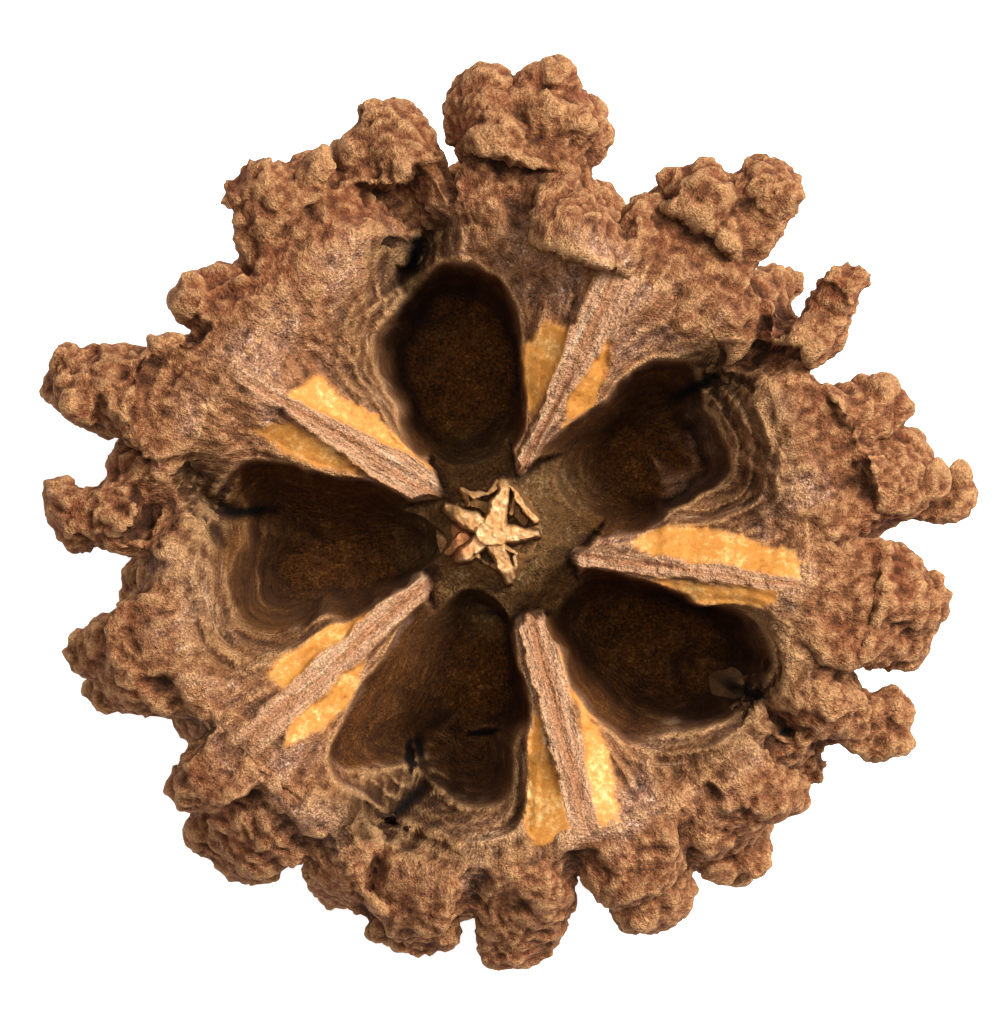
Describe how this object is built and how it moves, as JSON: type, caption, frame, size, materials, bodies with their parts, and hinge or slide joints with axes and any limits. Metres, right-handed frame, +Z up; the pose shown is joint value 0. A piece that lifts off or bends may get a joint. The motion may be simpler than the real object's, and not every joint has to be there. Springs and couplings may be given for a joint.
{
  "type": "dried seed capsule",
  "caption": "Woody seed capsule split open at the top, with deep chambers between thin radial walls and a husk covered in blunt knobs.",
  "frame": {"origin": "centre of the small flat spot that the capsule rests on, below its axis", "axes": "+Z up through the open mouth along the central column; +Y towards the broadest knob of the rim; +X towards the pointed knob of the rim, its widest way across"},
  "size_m": [0.0482, 0.0472, 0.0249],
  "materials": {
    "husk": "dry, matt and fibrous"
  },
  "bodies": {
    "root": {"capsule": "husk"}
  },
  "joints": []
}
